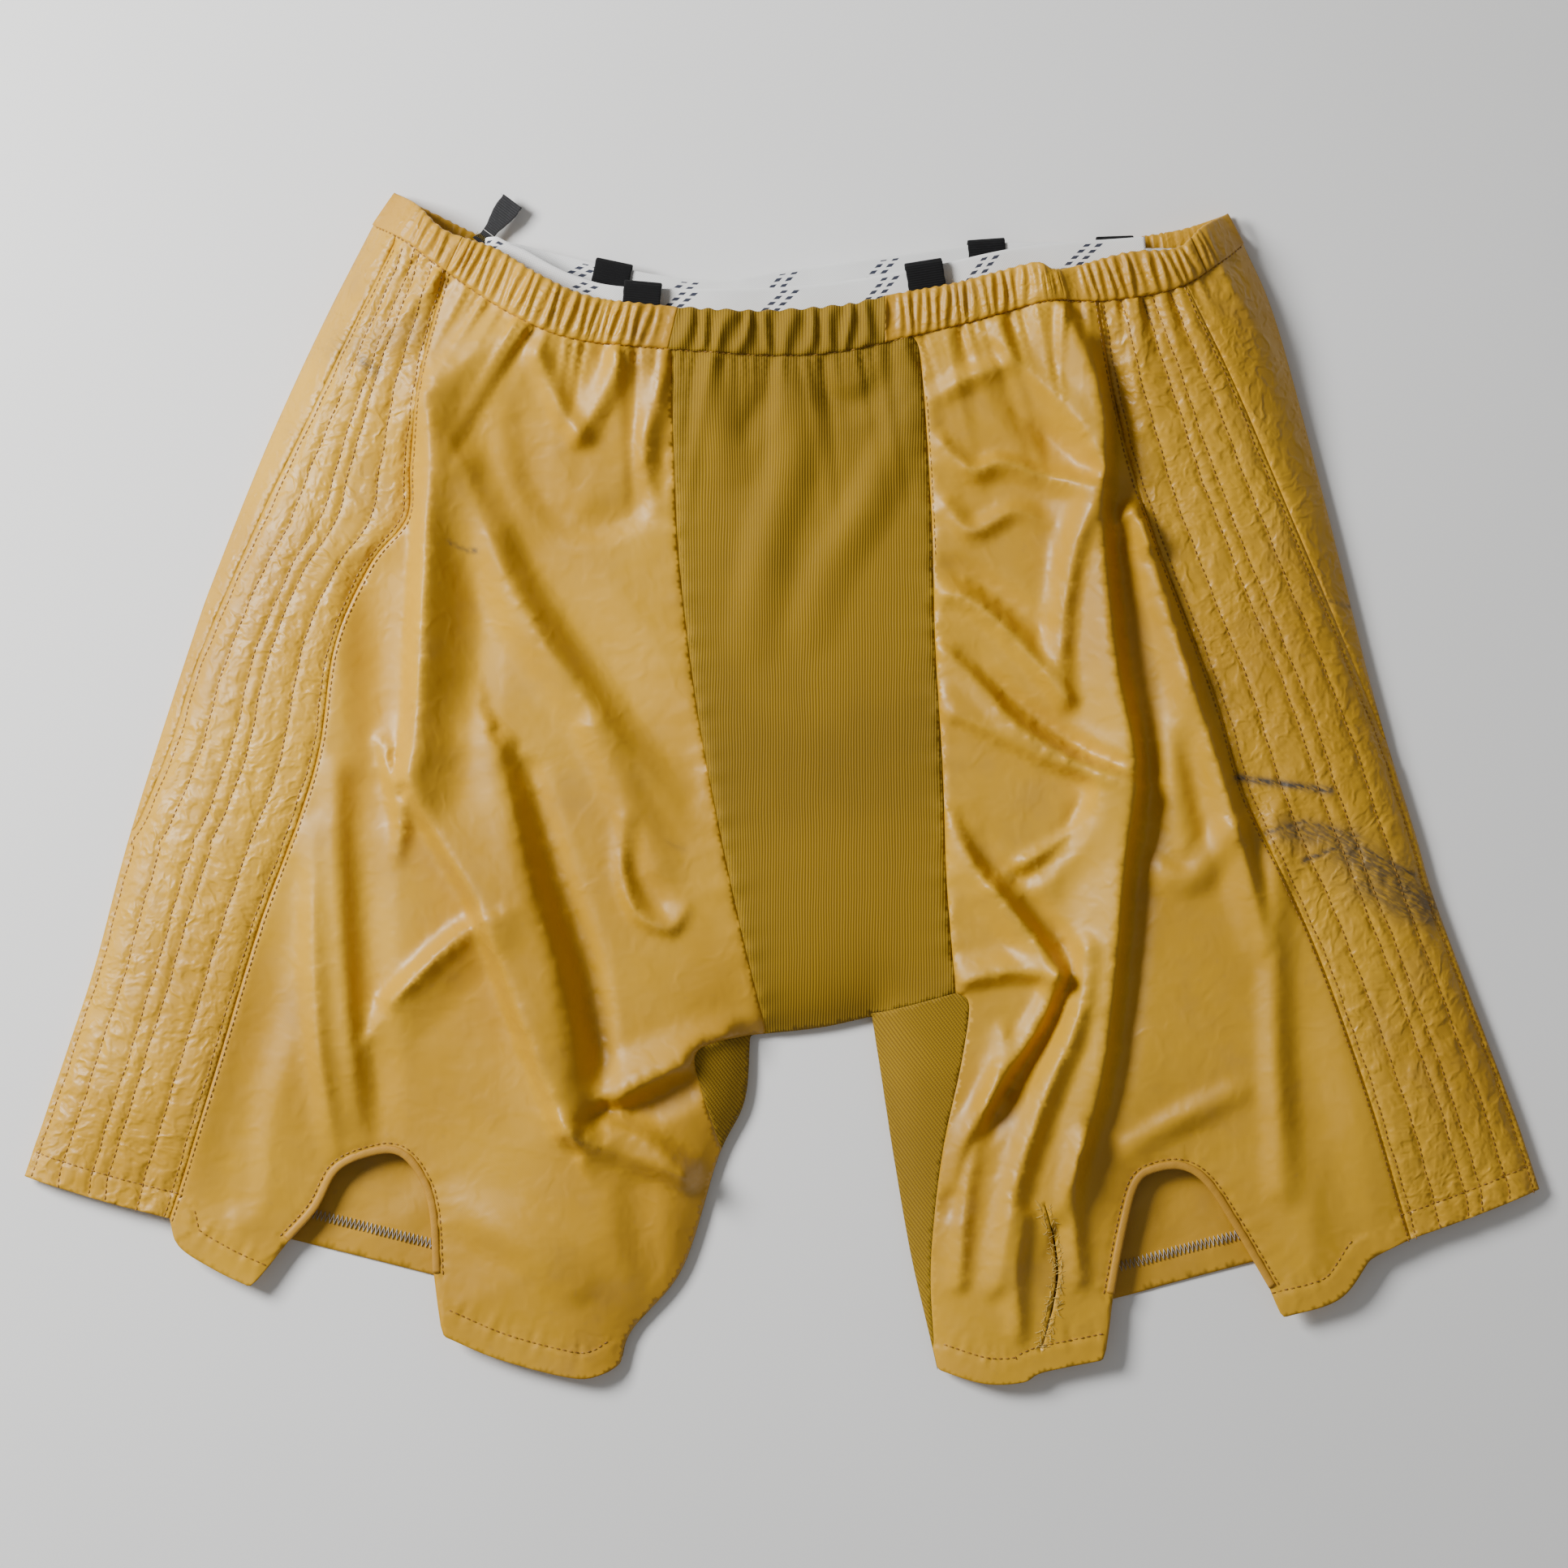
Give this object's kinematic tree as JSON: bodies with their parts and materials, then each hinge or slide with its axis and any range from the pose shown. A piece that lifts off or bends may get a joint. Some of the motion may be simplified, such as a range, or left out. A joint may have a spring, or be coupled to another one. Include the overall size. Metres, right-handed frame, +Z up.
{
  "type": "ice hockey pant shell",
  "caption": "Loose nylon cover for a padded hockey girdle, with a gathered elastic waist, a waist lace in webbing loops, knit gussets and notched legs.",
  "frame": {"origin": "centre of the outline, on the surface that the garment's back lies on", "axes": "+X towards the wearer's left, +Y from the hems to the waist, +Z up from the back to the front"},
  "size_m": [0.8078, 0.634, 0.038],
  "materials": {
    "gold_nylon": "satin",
    "mustard_knit": "matte",
    "gold_binding": "satin",
    "black_webbing": "matte",
    "white_lace": "matte",
    "white_thread": "matte",
    "woven_elastic": "matte",
    "clear_plastic": "glossy",
    "white_label": "matte"
  },
  "bodies": {
    "shell": {"right_front_panel_upper": "gold_nylon", "right_stripe_panel_upper": "gold_nylon", "right_back_panel_upper": "gold_nylon", "right_inner_leg_gusset_upper": "mustard_knit", "left_front_panel_upper": "gold_nylon", "left_stripe_panel_upper": "gold_nylon", "left_back_panel_upper": "gold_nylon", "left_inner_leg_gusset_upper": "mustard_knit", "front_gusset": "mustard_knit", "back_gusset": "mustard_knit", "front_waistband_centre": "mustard_knit", "back_waistband_centre": "mustard_knit", "right_waistband_end": "gold_nylon", "front_waistband_right": "gold_nylon", "front_waistband_left": "gold_nylon", "left_waistband_end": "gold_nylon", "back_waistband_right": "gold_nylon", "back_waistband_left": "gold_nylon", "waist_elastic": "woven_elastic", "waist_lace": "white_lace", "lace_tip_back": "clear_plastic", "lace_tip_front": "clear_plastic", "loose_tape_sewn_end": "black_webbing", "waist_label": "white_label"},
    "right_leg": {"right_front_panel_lower": "gold_nylon", "right_stripe_panel_lower": "gold_nylon", "right_back_panel_lower": "gold_nylon", "right_inner_leg_gusset_lower": "mustard_knit", "right_notch_binding": "gold_binding", "right_front_overlock": "white_thread", "right_back_overlock": "white_thread"},
    "left_leg": {"left_front_panel_lower": "gold_nylon", "left_stripe_panel_lower": "gold_nylon", "left_back_panel_lower": "gold_nylon", "left_inner_leg_gusset_lower": "mustard_knit", "left_notch_binding": "gold_binding", "left_front_overlock": "white_thread", "left_back_overlock": "white_thread"},
    "front_right_loop": {"front_right_loop": "black_webbing"},
    "front_left_loop": {"front_left_loop": "black_webbing"},
    "back_right_loop": {"back_right_loop": "black_webbing"},
    "back_left_loop": {"back_left_loop": "black_webbing"},
    "side_left_loop": {"side_left_loop": "black_webbing"},
    "loose_loop_tape": {"loose_loop_tape": "black_webbing"}
  },
  "joints": [
    {"name": "right_leg_fold", "type": "hinge", "parent": "shell", "child": "right_leg", "pos_m": [-0.215, -0.15, 0.0382], "axis": [-1, 0, 0], "range_deg": [0, 150]},
    {"name": "left_leg_fold", "type": "hinge", "parent": "shell", "child": "left_leg", "pos_m": [0.225, -0.15, 0.0382], "axis": [-1, 0, 0], "range_deg": [0, 150]},
    {"name": "front_right_loop_swing", "type": "hinge", "parent": "shell", "child": "front_right_loop", "pos_m": [-0.07552, 0.23857, 0.0316], "axis": [-0.9962, 0.0872, 0], "range_deg": [0, 7]},
    {"name": "front_left_loop_swing", "type": "hinge", "parent": "shell", "child": "front_left_loop", "pos_m": [0.07874, 0.24971, 0.0316], "axis": [-0.9877, -0.1564, 0], "range_deg": [0, 7]},
    {"name": "back_right_loop_swing", "type": "hinge", "parent": "shell", "child": "back_right_loop", "pos_m": [-0.09464, 0.25188, 0.0064], "axis": [0.9781, -0.2079, 0], "range_deg": [0, 7]},
    {"name": "back_left_loop_swing", "type": "hinge", "parent": "shell", "child": "back_left_loop", "pos_m": [0.11022, 0.26304, 0.0064], "axis": [0.9976, 0.0698, 0], "range_deg": [0, 7]},
    {"name": "side_left_loop_swing", "type": "hinge", "parent": "shell", "child": "side_left_loop", "pos_m": [0.17761, 0.26451, 0.0064], "axis": [0.9994, 0.0349, 0], "range_deg": [0, 7]},
    {"name": "loose_tape_swing", "type": "hinge", "parent": "shell", "child": "loose_loop_tape", "pos_m": [-0.156, 0.2955, 0.0078], "axis": [0.7986, -0.6018, 0], "range_deg": [-8, 75]}
  ]
}
